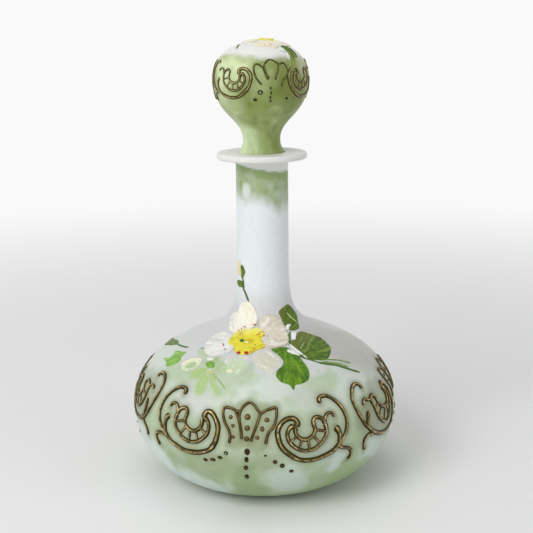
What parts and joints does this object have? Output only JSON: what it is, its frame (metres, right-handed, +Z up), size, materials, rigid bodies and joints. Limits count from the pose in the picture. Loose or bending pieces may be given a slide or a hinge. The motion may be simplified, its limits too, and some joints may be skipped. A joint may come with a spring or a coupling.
{
  "type": "decanter",
  "caption": "Squat round-bellied opal glass decanter with a long neck, a disc lip and a lift-out ball stopper, with raised scrolls and enamelled wild roses.",
  "frame": {"origin": "centre of the foot ring, on the plane that the bottle stands on", "axes": "+Z up the axis of the bottle and the stopper, -Y towards the front with the rose spray, +X to the viewer's right of the front"},
  "size_m": [0.1516, 0.1516, 0.2477],
  "materials": {
    "opal_glass": "satin",
    "green_opal_glass": "satin",
    "gilt_enamel": "satin",
    "cream_enamel": "satin",
    "yellow_enamel": "satin",
    "leaf_enamel": "satin"
  },
  "bodies": {
    "bottle": {"bottle_glass": "opal_glass", "scroll_left_1": "gilt_enamel", "scroll_right_1": "gilt_enamel", "palmette_1": "gilt_enamel", "scroll_left_2": "gilt_enamel", "scroll_right_2": "gilt_enamel", "palmette_2": "gilt_enamel", "scroll_left_3": "gilt_enamel", "scroll_right_3": "gilt_enamel", "palmette_3": "gilt_enamel", "scroll_left_4": "gilt_enamel", "scroll_right_4": "gilt_enamel", "palmette_4": "gilt_enamel", "petal_top": "cream_enamel", "petal_left": "cream_enamel", "petal_right": "cream_enamel", "petal_low_right": "cream_enamel", "petal_low_left": "cream_enamel", "rose_heart": "yellow_enamel", "leaf_upper_right": "leaf_enamel", "leaf_middle_right": "leaf_enamel", "leaf_lower_right": "leaf_enamel", "leaf_long_right": "leaf_enamel", "leaf_far_left": "leaf_enamel", "leaf_near_left": "leaf_enamel", "leaf_small_left": "leaf_enamel", "bud_leaf": "leaf_enamel", "bud": "cream_enamel", "leaf_under_bud": "leaf_enamel", "stem_right": "leaf_enamel", "stem_left": "leaf_enamel", "stem_bud": "leaf_enamel"},
    "stopper": {"stopper_glass": "green_opal_glass", "stopper_scroll_left_1": "gilt_enamel", "stopper_scroll_right_1": "gilt_enamel", "stopper_palmette_1": "gilt_enamel", "stopper_scroll_left_2": "gilt_enamel", "stopper_scroll_right_2": "gilt_enamel", "stopper_palmette_2": "gilt_enamel", "stopper_petal_1": "cream_enamel", "stopper_petal_2": "cream_enamel", "stopper_petal_3": "cream_enamel", "stopper_petal_4": "cream_enamel", "stopper_petal_5": "cream_enamel", "stopper_rose_heart": "yellow_enamel", "stopper_leaf_right": "leaf_enamel", "stopper_leaf_left": "leaf_enamel"}
  },
  "joints": [
    {"name": "stopper_lift", "type": "slide", "parent": "bottle", "child": "stopper", "axis": [0, 0, 1], "range_m": [0, 0.04]}
  ]
}
